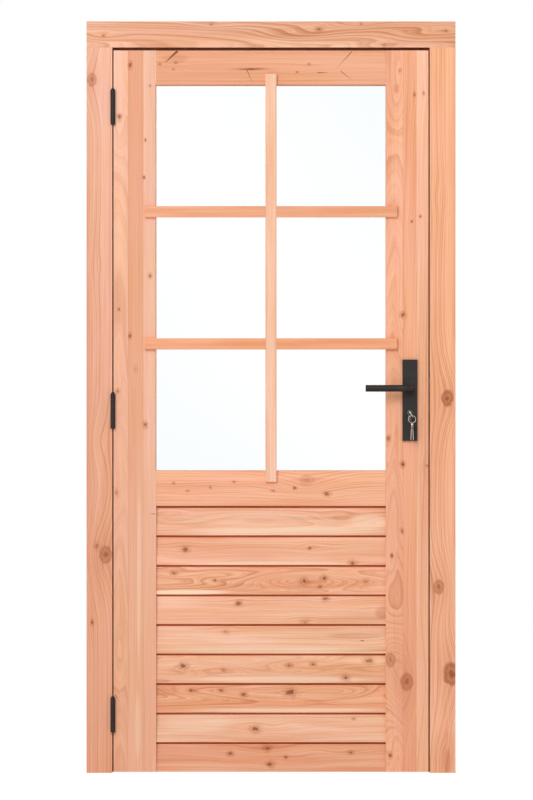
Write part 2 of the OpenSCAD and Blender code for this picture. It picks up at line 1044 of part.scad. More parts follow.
// Children turned with the key about the cylinder
module with_key() {
    translate([spindle_x, 0, cyl_z])
        rotate([0, key_turned, 0])
            children();
}

module cylinder_plug() {
    w = key_t / 2 + key_fit;
    h = blade_w / 2 + key_fit;
    reach = cyl_half + plug_proud;
    color(nickel)
        with_key()
            difference() {
                translate([0, -reach, 0])
                    rotate([-90, 0, 0])
                        cylinder(d = plug_d - 2 * run_fit, h = 2 * reach);
                block([-w, -reach - eps, -h], [w, -reach + keyway_in, h]);
                block([-w, reach - keyway_back, -h], [w, reach + eps, h]);
            }
}

module cylinder_cam() {
    color(nickel)
        with_key()
            difference() {
                union() {
                    translate([0, -cam_w / 2, 0])
                        rotate([-90, 0, 0])
                            cylinder(r = cyl_r, h = cam_w);
                    block([-cam_tooth / 2, -cam_w / 2, -cam_r + 1], [cam_tooth / 2, cam_w / 2, 0]);
                }
                translate([0, -cam_w, 0])
                    rotate([-90, 0, 0])
                        cylinder(d = plug_d - 2 * run_fit, h = 2 * cam_w);
            }
}

// Blade of a key running down from the origin, cut along one edge
module key_blade(len) {
    difference() {
        translate([-blade_w / 2, -len])
            square([blade_w, len]);
        for (c = spare_cuts)
            translate([blade_w / 2, -len + c])
                polygon([[eps / 2, -cut_depth], [-cut_depth, 0], [eps / 2, cut_depth]]);
    }
}

// Key in the cylinder: drawn with its blade down, then laid along Y
module door_key() {
    color(nickel)
        with_key()
            translate([key_t / 2, key_face_y, 0])
                rotate([180, 90, 0])
                    linear_extrude(key_t)
                        door_key_outline();
}

module door_key_outline() {
    difference() {
        union() {
            key_blade(blade_in);
            translate([-blade_w / 2, -eps])
                square([blade_w, key_neck + 2 * eps]);
            translate([bow_shift, key_neck + bow_l / 2])
                round_rect(bow_w, bow_l, bow_r);
        }
        translate([bow_hole_u, key_face_y - ring_y])
            circle(r = bow_hole);
    }
}

module key_ring() {
    color(nickel)
        translate([ring_x, ring_y, ring_z])
            rotate([90, 0, 0])
                rotate_extrude()
                    translate([ring_r, 0])
                        circle(r = wire_r, $fn = 20);
}

module spare_key_outline() {
    hole_z = -(bow_hole - wire_r - hang_gap);
    top = hole_z + bow_hole + spare_rim;
    difference() {
        union() {
            translate([0, top - spare_bow / 2])
                circle(d = spare_bow);
            translate([0, top - spare_bow])
                key_blade(spare_len - spare_bow);
            translate([-blade_w / 2, top - spare_bow - eps])
                square([blade_w, spare_bow / 2]);
        }
        translate([0, hole_z])
            circle(r = bow_hole);
    }
}

module spare_keys() {
    pitch = spare_t + spare_gap;
    color(nickel)
        translate([ring_x, ring_y, ring_z - ring_r])
            for (s = [-0.5, 0.5])
                translate([s * pitch, 0, 0])
                    rotate([0, -2 * s * spare_splay, 0])
                        along_x(-spare_t / 2, spare_t / 2)
                            spare_key_outline();
}

hinge_post();
lock_post();
head();
frame_seal();
frame_corner_screws();
strike_plate();
strike_screws();
hinge_top_frame_leaf();
hinge_middle_frame_leaf();
hinge_bottom_frame_leaf();
hinge_pins();
frame_hinge_screws();
hinge_stile();
lock_stile();
top_rail();
mid_rail();
bottom_rail();
board(1);  // board_1
board(2);  // board_2
board(3);  // board_3
board(4);  // board_4
board(5);  // board_5
board(6);  // board_6
board(7);  // board_7
board(8);  // board_8
board(9);  // board_9
glass_pane();
glazing_gasket();
bead_top();
bead_bottom();
bead_left();
bead_right();
bar_upright();
bar_upper();
bar_lower();
hinge_top_door_leaf();
hinge_middle_door_leaf();
hinge_bottom_door_leaf();
door_hinge_screws();
outside_plate();
inside_plate();
plate_screws();
lock_case();
lock_forend();
forend_screws();
cylinder_body();
cylinder_screw();
outside_lever();
inside_lever();
spindle();
lock_follower();
latch_bolt();
dead_bolt();
cylinder_plug();
cylinder_cam();
door_key();
key_ring();
spare_keys();
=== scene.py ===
import json
import math

import bpy
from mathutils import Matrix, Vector

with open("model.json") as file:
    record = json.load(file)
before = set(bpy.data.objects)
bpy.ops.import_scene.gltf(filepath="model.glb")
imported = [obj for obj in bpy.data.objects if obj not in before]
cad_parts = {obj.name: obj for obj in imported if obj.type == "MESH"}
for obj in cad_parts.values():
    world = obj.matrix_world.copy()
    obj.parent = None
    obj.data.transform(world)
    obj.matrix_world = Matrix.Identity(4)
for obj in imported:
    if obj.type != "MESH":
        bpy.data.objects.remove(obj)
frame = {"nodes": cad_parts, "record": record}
nodes = frame["nodes"]
slotOf = {part["node"]: part["material_slot"] for part in frame["record"]["subparts"]}
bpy.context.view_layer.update()  # the box of the solids, before anything is dressed
mm = 0.001
print("frame loaded:", len(nodes), "nodes")


# screen colour 0 to 255 to the linear values that shaders use
def tone(red, green, blue):
    return tuple(c / 12.92 if c <= 0.04045 else ((c + 0.055) / 1.055) ** 2.4
                 for c in (red / 255, green / 255, blue / 255)) + (1.0,)


def feed(socket, value):
    if isinstance(value, Wire):
        socket.id_data.links.new(value.socket, socket)
    else:
        socket.default_value = value


# a shader socket that can be used in sums; each sum adds a Math node
class Wire:
    def __init__(self, socket):
        self.socket = socket

    def math(self, operation, *values):
        node = self.socket.id_data.nodes.new("ShaderNodeMath")
        node.operation = operation
        for socket, value in zip(node.inputs, values):
            feed(socket, value)
        return Wire(node.outputs[0])

    def side(self, name):  # another output of the same node
        return Wire(self.socket.node.outputs[name])

    def __add__(self, other):
        return self.math("ADD", self, other)

    def __radd__(self, other):
        return self.math("ADD", other, self)

    def __sub__(self, other):
        return self.math("SUBTRACT", self, other)

    def __rsub__(self, other):
        return self.math("SUBTRACT", other, self)

    def __mul__(self, other):
        return self.math("MULTIPLY", self, other)

    def __rmul__(self, other):
        return self.math("MULTIPLY", other, self)

    def __truediv__(self, other):
        return self.math("DIVIDE", self, other)

    def __rtruediv__(self, other):
        return self.math("DIVIDE", other, self)

    def above(self, other):
        return self.math("GREATER_THAN", self, other)

    def most(self, other):
        return self.math("MAXIMUM", self, other)

    def root(self):
        return self.math("SQRT", self)

    def exp(self):
        return self.math("EXPONENT", self)

    def sine(self):
        return self.math("SINE", self)

    def fract(self):
        return self.math("FRACT", self)

    def floor(self):
        return self.math("FLOOR", self)

    def held(self):
        return self.math("MAXIMUM", self.math("MINIMUM", self, 1.0), 0.0)


# one material, or the world, and its nodes
class Finish:
    def __init__(self, name, store=bpy.data.materials):
        self.material = store.new(name)
        self.material.use_nodes = True
        self.tree = self.material.node_tree
        self.tree.nodes.clear()

    def make(self, kind, settings, sockets, out=0):
        node = self.tree.nodes.new("ShaderNode" + kind)
        for key, value in settings.items():
            setattr(node, key, value)
        for key, value in sockets.items():
            feed(node.inputs[key], value)
        return Wire(node.outputs[out]) if node.outputs else None

    # 0 below low, 1 above high, eased between
    def rise(self, value, low, high):
        return self.make("MapRange", {"interpolation_type": "SMOOTHSTEP"},
                         {"Value": value, "From Min": low, "From Max": high})

    # the reverse: 1 below low, 0 above high
    def drop(self, value, low, high):
        return 1 - self.rise(value, low, high)

    # up from low to high, and down again from late to end
    def hump(self, value, low, high, late, end):
        return self.rise(value, low, high) * self.drop(value, late, end)

    def blend(self, share, first, second, way="MIX"):
        return self.make("Mix", {"data_type": "RGBA", "blend_type": way},
                         {0: share, 6: first, 7: second}, 2)

    # where a point lies on the piece itself
    def place(self):
        return self.make("TexCoord", {}, {}, "Object")

    # noise over a place stretched by scale, moved by shift
    def noise(self, place, scale, shift, detail=2.0, roughness=0.5):
        stretch = scale if isinstance(scale, tuple) else (scale, scale, scale)
        moved = self.make("VectorMath", {"operation": "MULTIPLY_ADD"}, {0: place, 1: stretch, 2: shift})
        return self.make("TexNoise", {}, {"Vector": moved, "Scale": 1.0, "Detail": detail,
                                          "Roughness": roughness})

    def bump(self, height, strength, distance):
        return self.make("Bump", {}, {"Height": height, "Strength": strength, "Distance": distance})

    def surface(self, **sockets):
        named = {key.replace("_", " "): value for key, value in sockets.items()}
        self.end(self.make("BsdfPrincipled", {}, named))

    # 1 for rays that should meet the plain white background
    def seen(self):
        path = self.make("LightPath", {}, {}, "Is Camera Ray")
        return path.most(path.side("Is Glossy Ray")).most(path.side("Is Transmission Ray"))

    def end(self, shader, kind="OutputMaterial"):
        self.make(kind, {}, {"Surface": shader})


def dress(name, material):
    held = nodes[name].data.materials
    held.clear()
    held.append(material)


edges = {"weld": 0.00001, "flat": math.radians(0.5), "sharp": math.radians(35), "steps": 2}


# planed edges: flat faces are joined up, then the corners of a node are broken a little
def breakEdges(name, width):
    weld = nodes[name].modifiers.new("weld", "WELD")
    weld.merge_threshold = edges["weld"]
    join = nodes[name].modifiers.new("join", "DECIMATE")
    join.decimate_type, join.angle_limit = "DISSOLVE", edges["flat"]
    bevel = nodes[name].modifiers.new("bevel", "BEVEL")
    bevel.width, bevel.segments = width, edges["steps"]
    bevel.limit_method, bevel.angle_limit = "ANGLE", edges["sharp"]
    bevel.harden_normals = True


timber = {
    "deep": (0.68, 0.47, 0.35, 1.0),     # what late wood does to the base colour
    "pale": (1.03, 1.05, 1.07, 1.0),
    "pink": (1.01, 0.985, 1.02, 1.0),
    "amber": (1.0, 0.98, 0.93, 1.0),
    "cream": (1.04, 1.12, 1.17, 1.0),
    "orange": (0.97, 0.88, 0.80, 1.0),
    # light sapwood colour, also used for the painted highlight on the boards' lower edges
    "sapAndSheen": tone(254, 222, 194),
    "knot": tone(190, 112, 76),
    "knotHeart": tone(128, 66, 38),
    "crack": tone(98, 48, 30),
    "glue": tone(190, 122, 88),
    # painted shade, multiplied into the recessed parts of the boards' joints
    "inside": (0.80, 0.44, 0.27, 1.0),
    "rough": (0.50, 0.70),               # late wood, early wood
    "specular": 0.15,
    "stripShift": 0.613,                 # metres of trunk between two glued strips
    "disc": 10.5,                        # a knot of more mm than this shows a ringed disc
    "lean": 0.5,                         # how far a knot moves inwards for its depth
    "reach": (4.5, 2.2),                 # how far it bends the grain, in radii
    "push": 0.55,
    "swellLarge": (7.0, 3.0, 2.0),       # length, breadth and lift of swollen rings, in radii
    "swellSmall": (12.0, 2.0, 0.8),
    "relief": (0.3, 0.0006),
}


# a soft hill, from squared distances
def hill(da2, dc2, length, breadth):
    return (da2 * (-1 / length ** 2) + dc2 * (-1 / breadth ** 2)).exp()


# knots push the grain aside and swell the rings, and lean inwards with depth;
# strength 0 is a swirl with no knot in it
def knotField(name, look, along, across, y):
    corners = [Vector(corner) for corner in nodes[name].bound_box]
    front = min(corner.y for corner in corners)
    spread = [corner.x if look["along"] == "z" else corner.z for corner in corners]
    middle = (min(spread) + max(spread)) / 2
    bent, swell, knots = across, 0.0, []
    for knotAlong, knotAcross, radius, strength in look.get("knots", []):
        r = radius * mm
        lean = timber["lean"] if knotAcross * mm < middle else -timber["lean"]
        da, dc = along - knotAlong * mm, across - knotAcross * mm - (y - front) * lean
        da2, dc2 = da * da, dc * dc
        large = radius > look.get("disc", timber["disc"])
        length, breadth, lift = timber["swellLarge" if large else "swellSmall"]
        near = hill(da2, dc2, timber["reach"][0] * r, timber["reach"][1] * r)
        bent = bent - dc * near * timber["push"]
        swell = hill(da2, dc2, length * r, breadth * r) * (lift * r) + swell
        if strength:
            knots.append((da2, dc2, r, strength, near, large))
    return bent, swell, knots


# growth rings round a heart that lies beside or behind the piece; 1 is dark late wood
def lateWood(f, look, out, cloud):
    seed = look["seed"]
    turn = out / (look["ring"] * mm)
    drift = f.make("TexNoise", {"noise_dimensions": "1D"},
                   {"W": turn * 0.45 + seed, "Scale": 1.0, "Detail": 1.0})
    turn = turn + drift * 1.6  # years differ in width
    year = f.make("TexWhiteNoise", {"noise_dimensions": "1D"}, {"W": turn.floor() + seed})
    broad = f.hump(turn.fract(), 0.30, 0.90, 0.90, 1.0)
    thin = f.hump((turn * 2.7).fract(), 0.35, 0.93, 0.93, 1.0)
    return (broad * (year * 0.7 + 0.3) + thin * 0.35) * (cloud * 1.2 + 0.3)


# the piece's colour for each glued strip, blended from the foot tone up to the top tone: partly the timber's
# own tone, partly painted shade where the light falls off towards the foot
def stripColour(f, look, across, z):
    strips = look.get("strips", [])
    footFalloff = f.rise(z, 0.0, 2.2)
    base = f.blend(footFalloff, tone(*look["tones"][-1]), tone(*look["tones"][0]))
    for edge, (high, low) in zip(strips, look.get("stripTones", [])):
        base = f.blend(across.above(edge * mm), base, f.blend(footFalloff, tone(*low), tone(*high)))
    for edge in strips:
        off = across - edge * mm
        base = f.blend(f.drop((off * off).root(), 0.0002, 0.0009) * 0.45, base, timber["glue"])
    return base


# long soft patches: lighter where the amount is negative, darker where it is positive; mostly sapwood and
# heartwood, but the long narrow light bands along the boards' lower edges are painted highlight
def addPatches(f, look, colour, along, across, slow):
    for patchAlong, patchAcross, length, width, amount in look.get("patches", []):
        da = (along - patchAlong * mm) / (length * mm)
        dc = (across - patchAcross * mm + (slow - 0.5) * 0.02) / (width * mm)
        share = f.drop((da * da + dc * dc).root(), 0.55, 1.15)
        if amount < 0:
            colour = f.blend(share * -amount, colour, timber["sapAndSheen"])
        else:
            colour = f.blend(share * amount, colour, timber["deep"], "MULTIPLY")
    return colour


# knots: a ringed disc with a broken rim, or a dark heart in a warm cloud
def addKnots(f, knots, colour, relief, fret):
    for da2, dc2, r, strength, near, large in knots:
        away = (da2 * 0.5 + dc2).root() / r + (fret - 0.5) * (1.1 if large else 1.7)
        if large:
            disc = f.drop(away, 0.80, 1.08)
            rings = (away * 11.0).sine() * 0.16 + 0.80
            rim = f.hump(away, 0.66, 0.95, 0.98, 1.2) * f.rise(fret, 0.30, 0.60)
            core = f.drop(away, 0.08, 0.62)
            colour = f.blend(near * (0.28 * strength), colour, timber["deep"], "MULTIPLY")
            colour = f.blend(disc * rings * strength, colour, timber["knot"])
            colour = f.blend(rim * (0.5 * strength), colour, timber["knotHeart"])
            colour = f.blend(core * (0.6 * strength), colour, timber["knotHeart"])
            relief = relief - rim * 0.4
        else:
            cloudy = f.drop(away, 0.2, 1.6)
            core = f.drop(away, 0.24, 0.54) * (fret * 0.7 + 0.62)
            rim = f.hump(away, 0.62, 0.80, 0.80, 0.92) * f.rise(fret, 0.35, 0.60)
            colour = f.blend(cloudy * (0.75 * strength), colour, timber["deep"], "MULTIPLY")
            colour = f.blend((core + rim * 0.35) * strength, colour, timber["knotHeart"])
            relief = relief - core * 0.4
    return colour, relief


# drying cracks and resin streaks: straight runs that thin out towards their second end
def addCracks(f, look, colour, relief, along, across, quick):
    for startAlong, startAcross, endAlong, endAcross, half in look.get("cracks", []):
        ax, ay = startAlong * mm, startAcross * mm
        bx, by = endAlong * mm - ax, endAcross * mm - ay
        da, dc = along - ax, across - ay + (quick - 0.5) * 0.004
        share = ((da * bx + dc * by) / (bx * bx + by * by)).held()
        ga, gc = da - share * bx, dc - share * by
        gap = (ga * ga + gc * gc).root() / ((1.15 - share) * (half * mm))
        line = f.drop(gap, 0.25, 1.0)
        colour = f.blend(line * 0.85, colour, timber["crack"])
        relief = relief - line * 0.8
    return colour, relief


# planed softwood; look holds what differs from piece to piece, lengths in mm
def timberFinish(name, look):
    f = Finish(name)
    x = f.make("SeparateXYZ", {}, {"Vector": f.place()}, "X")
    y, z = x.side("Y"), x.side("Z")
    along, across = (z, x) if look["along"] == "z" else (x, z)
    seed, heart = look["seed"], look["heart"]

    # glued strips: each takes its own stretch of trunk
    run = along
    for edge in look.get("strips", []):
        run = run + across.above(edge * mm) * timber["stripShift"]
    bent, swell, knots = knotField(name, look, along, across, y)
    grain = f.make("CombineXYZ", {}, {"X": run, "Y": bent, "Z": y})

    # noises drawn out along the grain, from broad to fine
    slow = f.noise(grain, (0.9, 6, 6), (seed, 3.1, 7.7))
    quick = f.noise(grain, (2.6, 30, 30), (seed * 1.7, 1.3, 4.2), 3.0)
    band = f.noise(grain, (0.7, 16, 16), (seed, 9.2, 1.1), 1.0)
    cloud = f.noise(grain, (3.0, 11, 11), (seed, 2.6, 6.1))
    streak = f.noise(grain, (2.6, 48, 48), (seed * 2.1, 6.6, 0.9), 3.0)
    strand = f.noise(grain, (3.5, 190, 190), (seed, 7.4, 3.2))
    fret = f.noise(grain, (70, 110, 110), (seed, 4.4, 0.7), 3.0)
    fibre = f.noise(grain, (9, 620, 620), (seed, 0.4, 2.2), 4.0, 0.6)
    dash = f.rise(f.noise(grain, (24, 900, 900), (seed, 5.4, 8.8), 1.0), 0.66, 0.8)

    side = bent - run * heart[2] - heart[0] * mm
    for edge, apart in zip(look.get("strips", []), look.get("stripHearts", [])):
        side = side - across.above(edge * mm) * (apart * mm)
    depth = y - run * heart[3] - heart[1] * mm
    out = (side * side + depth * depth).root() + swell
    out = out + (slow - 0.5) * look.get("wander", 0.010) + (quick - 0.5) * 0.004
    late = lateWood(f, look, out, cloud)
    mask = late * look.get("contrast", 0.5) + (fibre - 0.5) * 0.3 + (strand - 0.5) * look.get("strands", 0.5)
    mask = (mask + dash * 0.1 + (band - 0.5) * look.get("bands", 0.8) + 0.12).held()

    # the base drifts from pink to amber, with cream and orange streaks, and late wood darkens it
    hue = f.blend(f.rise(cloud, 0.35, 0.65), timber["pink"], timber["amber"])
    drawn = f.blend(f.rise(streak, 0.30, 0.70), timber["cream"], timber["orange"])
    hue = f.blend(look.get("streaks", 1.0), hue, drawn, "MULTIPLY")
    colour = f.blend(1.0, stripColour(f, look, across, z), hue, "MULTIPLY")
    colour = f.blend(1.0, colour, f.blend(mask, timber["pale"], timber["deep"]), "MULTIPLY")

    # painted shade: the recessed tongue and shoulder of a board, between two depths, are darkened and
    # reddened where shade falls in the groove
    if "inside" in look:
        front, back = look["inside"]
        recessShadeMask = y.above(front * mm) * (1 - y.above(back * mm))
        colour = f.blend(recessShadeMask, colour, timber["inside"], "MULTIPLY")
    colour = addPatches(f, look, colour, along, across, slow)
    colour, relief = addKnots(f, knots, colour, late * 0.5 + fibre * 0.5, fret)
    colour, relief = addCracks(f, look, colour, relief, along, across, quick)
    smooth, dull = timber["rough"]
    f.surface(Base_Color=colour, Roughness=dull - late * (dull - smooth),
              Specular_IOR_Level=timber["specular"], Normal=f.bump(relief, *timber["relief"]))
    return f.material


def timberPiece(name, look):
    dress(name, timberFinish(name, look))
    breakEdges(name, look.get("edge", 0.0011))


hingePost = {
    "along": "z", "seed": 1.3, "heart": (-700, -20, 0.006, 0.004), "ring": 6.8, "contrast": 0.62,
    "streaks": 0.35, "tones": [(243, 188, 161), (233, 170, 137)],
    "knots": [(2047, -529, 14, 0.6), (644, -488, 18, 0.8), (671, -515, 10, 0.45), (445, -528, 7, 0.9),
              (1500, -520, 9, 0), (980, -500, 12, 0)],
}
timberPiece("hinge_post", hingePost)

lockPost = {
    "along": "z", "seed": 5.9, "heart": (690, -60, 0.004, 0.012), "ring": 8.0, "contrast": 0.75,
    "streaks": 0.35, "tones": [(255, 192, 151), (252, 192, 157)],
    "knots": [(1107, 521, 17, 1.0), (549, 496, 15, 0.7), (292, 533, 24, 1.0), (62, 518, 9, 0),
              (1700, 505, 10, 0)],
    "patches": [(60, 512, 80, 40, 0.2), (32, 522, 46, 12, 0.5)],
}
timberPiece("lock_post", lockPost)

headPiece = {
    "along": "x", "seed": 9.1, "heart": (2150, 70, 0.002, 0.018), "ring": 4.0, "contrast": 0.72,
    "wander": 0.004, "streaks": 0.95, "tones": [(240, 187, 156)],
    "knots": [(-495, 2178, 6, 0.6), (-177, 2211, 6, 0.5), (142, 2196, 10, 0.85), (266, 2212, 6, 0.5),
              (334, 2150, 6, 0.5), (517, 2192, 7, 0.5), (55, 2178, 9, 0), (430, 2180, 8, 0)],
    "patches": [(60, 2178, 90, 9, 0.35)],
}
timberPiece("head", headPiece)

hingeStile = {
    "along": "z", "seed": 2.7, "heart": (-450, 45, 0.0, 0.03), "ring": 4.6, "contrast": 0.30,
    "strands": 0.3, "bands": 0.5, "streaks": 0.3, "tones": [(251, 198, 167), (235, 176, 143)],
    "strips": [-422, -378], "stripHearts": [-190, -60],
    "stripTones": [((233, 168, 133), (240, 185, 152)), ((243, 195, 167), (240, 183, 151))],
    "knots": [(2092, -415, 8, 0.8), (1938, -448, 9, 0.7), (2029, -357, 5, 0.6), (1870, -371, 5, 0.7),
              (1759, -375, 5, 0.8), (1469, -357, 8, 0.6), (1369, -449, 4, 0.9), (1291, -417, 7, 0.9),
              (1193, -399, 10, 0.2), (1128, -453, 7, 0.7), (1028, -372, 9, 0.7), (826, -457, 9, 0.4),
              (333, -448, 8, 0.25)],
    "cracks": [(765, -343, 765, -357, 1.5), (230, -460, 210, -447, 1.6)],
    "patches": [(570, -391, 300, 7, -0.35), (140, -397, 110, 8, -0.3)],
}
timberPiece("hinge_stile", hingeStile)

lockStile = {
    "along": "z", "seed": 7.7, "heart": (366, 45, 0.0, 0.035), "ring": 4.2, "contrast": 0.5,
    "streaks": 0.3, "tones": [(248, 183, 149), (246, 183, 147)],
    "strips": [390, 429], "stripHearts": [250, 60],
    "stripTones": [((248, 181, 143), (245, 177, 141)), ((255, 199, 165), (251, 195, 159))],
    "knots": [(2075, 381, 6, 0.6), (2020, 369, 10, 0.5), (2004, 424, 6, 0.6), (2008, 451, 6, 0.6),
              (1629, 416, 4, 0.9), (1644, 441, 4, 0.8), (1352, 389, 9, 1.0), (988, 347, 8, 0.6),
              (912, 390, 9, 0.9), (908, 461, 6, 0.6), (715, 387, 7, 0.7), (641, 357, 6, 0.8),
              (334, 353, 15, 0.6), (269, 401, 18, 0.8), (53, 352, 7, 0.8)],
}
timberPiece("lock_stile", lockStile)

topRail = {
    "along": "x", "seed": 3.3, "heart": (1960, 30, 0.01, 0.01), "ring": 6.0, "contrast": 0.42,
    "streaks": 0.3, "tones": [(240, 177, 141)],
    "knots": [(-328, 2094, 5, 0.6), (-281, 2097, 5, 0.6), (-289, 2079, 4, 0.6), (77, 2070, 4, 0.6),
              (112, 2094, 5, 0.6)],
    "cracks": [(-278, 2130, -313, 2098, 5.0), (-60, 2079, -100, 2079, 3.0), (-60, 2079, -18, 2080, 3.2),
               (-71, 2076, -53, 2035, 1.5), (139, 2069, 168, 2069, 1.8), (238, 2130, 195, 2082, 1.8),
               (207, 2073, 239, 2047, 1.5)],
    "patches": [(-285, 2112, 45, 14, 0.3), (-60, 2079, 70, 7, 0.35)],
}
timberPiece("top_rail", topRail)

midRail = {
    "along": "x", "seed": 6.1, "heart": (640, -20, 0.0, 0.01), "ring": 7.0, "contrast": 0.5,
    "streaks": 0.5, "tones": [(250, 188, 153)],
    "knots": [(-287, 856, 5, 0.6), (-246, 833, 5, 0.6), (-180, 843, 5, 0.6), (-110, 859, 5, 0.6),
              (6, 834, 6, 0.6), (106, 865, 15, 0.3), (71, 842, 6, 0.7), (165, 824, 9, 0.7)],
}
timberPiece("mid_rail", midRail)

bottomRail = {"along": "x", "seed": 8.4, "heart": (-60, 30, 0.0, 0.01), "ring": 6.0,
              "tones": [(236, 174, 141)]}
timberPiece("bottom_rail", bottomRail)
print("frame and leaf timber dressed")

# the long narrow light patches along the lower edges of boards 1, 2, 3, 5, 6 and 7 are painted highlight
# where each board's proud lower edge catches the light
boards = {
    "board_1": {"seed": 11.2, "heart": (738, 40, 0, 0.010), "ring": 3.2, "tones": [(244, 191, 159)],
                "contrast": 0.55, "wander": 0.005,
                "knots": [(-295, 753, 12, 0), (201, 750, 9, 0)],
                "patches": [(60, 713, 330, 14, -0.5), (285, 742, 60, 28, -0.35), (40, 750, 190, 7, 0.3)]},
    "board_2": {"seed": 12.9, "heart": (560, -20, 0.01, 0.0), "tones": [(247, 188, 155)], "contrast": 0.5,
                "knots": [(-254, 658, 10.4, 0.75), (114, 661, 5.4, 0.8), (242, 618, 10.4, 0.75),
                          (140, 660, 8, 0)],
                "patches": [(-20, 614, 330, 8, -0.6)]},
    "board_3": {"seed": 13.6, "heart": (572, 30, 0, 0.014), "tones": [(250, 192, 157)], "contrast": 0.62,
                "ring": 3.0, "wander": 0.004,
                "knots": [(-287, 592, 9.5, 0.65), (-165, 567, 5.4, 0.8), (97, 564, 13.5, 0.75),
                          (157, 573, 10.4, 0.8), (145, 549, 6.8, 0.7), (281, 564, 8.1, 0.6),
                          (20, 566, 12, 0)],
                "patches": [(-260, 533, 150, 9, -0.95)]},
    "board_4": {"seed": 14.8, "heart": (420, -20, 0.012, 0.0), "tones": [(249, 194, 162)], "contrast": 0.45,
                "knots": [(-95, 503, 10.4, 0.75), (162, 517, 10.4, 0.7), (100, 444, 10.4, 0.6),
                          (300, 480, 10, 0)],
                "patches": [(330, 476, 26, 20, 0.5)]},
    "board_5": {"seed": 15.1, "heart": (360, -30, 0.008, 0.0), "tones": [(249, 199, 167)], "contrast": 0.4,
                "knots": [(-134, 419, 10.4, 0.35), (260, 404, 10, 0)],
                "cracks": [(273, 391, 262, 391, 2.2)],
                "patches": [(0, 366, 330, 16, -0.4), (250, 408, 90, 12, 0.3)]},
    "board_6": {"seed": 16.7, "heart": (318, 40, 0, 0.012), "ring": 3.0, "tones": [(244, 189, 153)],
                "contrast": 0.5,
                "knots": [(-260, 316, 13.5, 0.8), (-140, 301, 6.8, 0.85), (53, 319, 8.1, 0.95),
                          (124, 323, 8.1, 0.95), (288, 334, 13.5, 0.65), (220, 280, 10.4, 0.85)],
                "patches": [(40, 276, 300, 12, -0.6), (-330, 269, 40, 6, 0.5)]},
    "board_7": {"seed": 17.4, "heart": (232, 30, 0, 0.012), "tones": [(245, 184, 145)], "contrast": 0.62,
                "ring": 3.0,
                "knots": [(-236, 245, 8.1, 0.7), (-148, 245, 8.1, 0.75), (-80, 234, 9.5, 0.8),
                          (59, 240, 16.2, 0.85), (210, 244, 14, 0)],
                "patches": [(60, 184, 330, 7, -0.6), (-310, 240, 40, 20, 0.3)]},
    "board_8": {"seed": 18.3, "heart": (60, -20, 0.012, 0.0), "tones": [(247, 197, 166)], "contrast": 0.45,
                "knots": [(-47, 128, 13.5, 0.8), (245, 162, 5.4, 0.9), (60, 128, 12, 0)],
                "patches": [(-220, 150, 120, 30, -0.3)]},
    "board_9": {"seed": 19.9, "heart": (-60, -20, 0.012, 0.0), "tones": [(239, 178, 144)], "contrast": 0.42,
                "knots": [(-121, 58, 9.5, 0.7), (-12, 74, 10.4, 0.75), (-3, 24, 10.4, 0.8),
                          (44, 44, 5.4, 0.7), (236, 62, 6.8, 0.75), (120, 46, 14, 0)]},
}
# each board gets painted shade on its recessed tongue, from 13.5 to 3 mm deep
for name, look in boards.items():
    timberPiece(name, {"along": "x", "ring": 5.0, "edge": 0.0009, "inside": (-13.5, -3), "wander": 0.007,
                       "disc": 20, **look})

bars = {
    "bar_upright": {"along": "z", "seed": 21.5, "heart": (70, -20, 0.0, 0.0), "tones": [(245, 196, 168)],
                    "contrast": 0.25},
    "bar_upper": {"along": "x", "seed": 22.4, "heart": (1800, -20, 0.0, 0.0), "tones": [(242, 178, 140)],
                  "contrast": 0.35},
    "bar_lower": {"along": "x", "seed": 23.8, "heart": (1400, -20, 0.0, 0.0), "tones": [(244, 173, 132)],
                  "contrast": 0.35},
}
for name, look in bars.items():
    timberPiece(name, {"ring": 5.0, "bands": 0.5, "edge": 0.0012, **look})

beads = {"bead_top": "x", "bead_bottom": "x", "bead_left": "z", "bead_right": "z"}
for number, (name, along) in enumerate(beads.items()):
    timberPiece(name, {"along": along, "seed": 31.3 + number * 2.3, "heart": (100, -30, 0.0, 0.002),
                       "ring": 5.0, "contrast": 0.35, "tones": [(244, 184, 150)], "edge": 0.0012})
print("boards, bars and beads dressed")


# coated black metal, a little lighter and smoother in random rubbed patches
blackMetal = {"colour": tone(37, 32, 29), "rubbed": tone(54, 48, 44), "rough": (0.36, 0.48),
              "specular": 0.24, "grain": 2600, "patch": 38, "worn": (0.52, 0.78)}


def blackFinish():
    f = Finish("black_coat")
    fine = f.noise(f.place(), blackMetal["grain"], (1.0, 2.0, 3.0))
    worn = f.rise(f.noise(f.place(), blackMetal["patch"], (4.0, 1.0, 7.0), 3.0), *blackMetal["worn"])
    share = worn * 0.55 + (fine - 0.5) * 0.5
    low, high = blackMetal["rough"]
    f.surface(Base_Color=f.blend(share, blackMetal["colour"], blackMetal["rubbed"]),
              Roughness=high - worn * (high - low), Specular_IOR_Level=blackMetal["specular"],
              Normal=f.bump(fine, 0.16, 0.0002))
    return f.material


bright = {"stain": 120, "bump": (0.12, 0.0002)}


# plain bright metals with fine drawing marks
def brightFinish(name, colour, darker, rough, marks):
    f = Finish(name)
    drawn = f.noise(f.place(), marks, (0.3, 0.9, 1.7), 3.0)
    stain = f.noise(f.place(), bright["stain"], (5.0, 3.0, 1.0), 3.0)
    share = stain * 0.8 + (drawn - 0.5) * 0.3
    f.surface(Base_Color=f.blend(share, colour, darker), Metallic=1.0,
              Roughness=drawn * 0.16 + stain * 0.10 + rough, Normal=f.bump(drawn, *bright["bump"]))
    return f.material


rubber = {"skin": 900, "dust": 14, "specular": 0.06, "bump": (0.2, 0.0002)}


